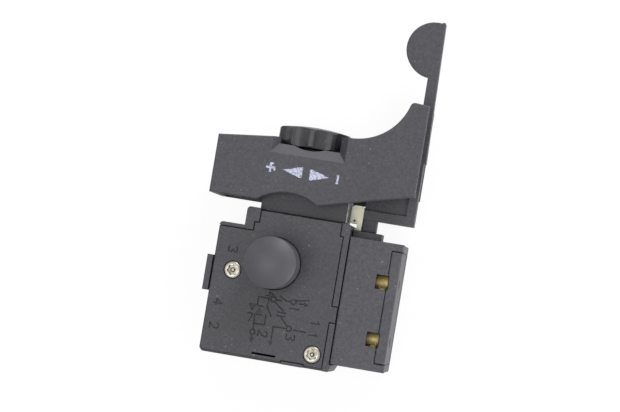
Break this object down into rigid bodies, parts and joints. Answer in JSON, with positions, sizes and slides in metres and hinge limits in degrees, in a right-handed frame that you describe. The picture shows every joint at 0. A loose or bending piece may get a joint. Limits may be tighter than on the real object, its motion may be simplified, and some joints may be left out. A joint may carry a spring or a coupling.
{
  "type": "power tool trigger switch",
  "caption": "Black drill trigger switch: hollow trigger with fluted speed dial, domed lock button on the cover, reversing lever with half-moon tab, side module with brass sleeves.",
  "frame": {"origin": "centre of the flat back face of the housing's base shell", "axes": "+X from the wire-entry side towards the reversing module, +Y up the housing towards the trigger, +Z out of the cover towards the lock button's dome"},
  "size_m": [0.0533, 0.0939, 0.0332],
  "materials": {
    "housing_plastic": "moulded black, fine grain",
    "cover_plastic": "moulded black, fine grain",
    "screw_steel": "nickel plated",
    "clamp_brass": "plain",
    "lock_plastic": "moulded black, satin",
    "pin_steel": "ground",
    "spring_steel": "drawn",
    "plunger_plastic": "moulded black",
    "strip_steel": "stamped",
    "contact_brass": "stamped",
    "board_laminate": "glass laminate",
    "component_black": "moulded",
    "sink_aluminium": "stamped",
    "resistor_ceramic": "coated ceramic",
    "trimmer_plastic": "moulded",
    "capacitor_resin": "dipped resin",
    "trigger_plastic": "moulded black, fine grain",
    "dial_plastic": "moulded black",
    "dial_screw_steel": "rolled",
    "nut_plastic": "moulded black",
    "module_plastic": "moulded black, fine grain",
    "lid_plastic": "moulded black, fine grain",
    "sleeve_brass": "turned and stamped",
    "lever_plastic": "moulded black, fine grain",
    "tongue_nylon": "natural cream"
  },
  "bodies": {
    "housing": {"base_shell": "housing_plastic", "cover_plate": "cover_plastic", "cover_screws": "screw_steel", "wire_clamp_low": "clamp_brass", "wire_clamp_middle": "clamp_brass", "wire_clamp_high": "clamp_brass", "lock_spring": "spring_steel", "return_spring": "spring_steel", "fixed_contact_left": "contact_brass", "fixed_contact_right": "contact_brass", "circuit_board": "board_laminate", "triac": "component_black", "heat_sink": "sink_aluminium", "resistor": "resistor_ceramic", "trimmer": "trimmer_plastic", "capacitor": "capacitor_resin", "module_case": "module_plastic", "module_lid": "lid_plastic", "terminal_cap": "lid_plastic", "wire_sleeve_low": "sleeve_brass", "wire_sleeve_high": "sleeve_brass", "contact_leaf_low": "sleeve_brass", "contact_leaf_high": "sleeve_brass", "detent_leaf": "spring_steel"},
    "trigger": {"trigger": "trigger_plastic", "plunger": "plunger_plastic", "guide_strip": "strip_steel", "contact_bridge": "contact_brass", "contact_spring": "spring_steel", "wiper": "contact_brass"},
    "dial": {"speed_dial": "dial_plastic", "dial_screw": "dial_screw_steel", "dial_clip": "spring_steel"},
    "stop": {"stop_nut": "nut_plastic"},
    "lock": {"lock_button": "lock_plastic", "lock_pin": "pin_steel"},
    "lever": {"reverse_lever": "lever_plastic", "interlock_tongue": "tongue_nylon", "rotor": "tongue_nylon", "contact_ring_low": "sleeve_brass", "contact_ring_high": "sleeve_brass"}
  },
  "joints": [
    {"name": "trigger_press", "type": "slide", "parent": "housing", "child": "trigger", "axis": [0, -1, 0], "range_m": [0, 0.006], "stiffness_N_per_m": 800, "springref_m": -0.002, "deforming": ["return_spring"]},
    {"name": "lock_button_press", "type": "slide", "parent": "housing", "child": "lock", "axis": [0, 0, -1], "range_m": [0, 0.0038], "stiffness_N_per_m": 500, "springref_m": -0.001, "deforming": ["lock_spring"]},
    {"name": "speed_dial_turn", "type": "hinge", "parent": "trigger", "child": "dial", "pos_m": [0.003, 0.0369, 0.0095], "axis": [0, 1, 0], "range_deg": [0, 720]},
    {"name": "stop_nut_slide", "type": "slide", "parent": "trigger", "child": "stop", "axis": [0, -1, 0], "range_m": [0, 0.004]},
    {"name": "reverse_lever_swing", "type": "hinge", "parent": "housing", "child": "lever", "pos_m": [0.02075, 0.0169, 0.0095], "axis": [0, 1, 0], "range_deg": [-22, 22]}
  ],
  "couplings": [
    {"joint": "stop_nut_slide", "follows": "speed_dial_turn", "m_per_rad": 0.0003183}
  ]
}
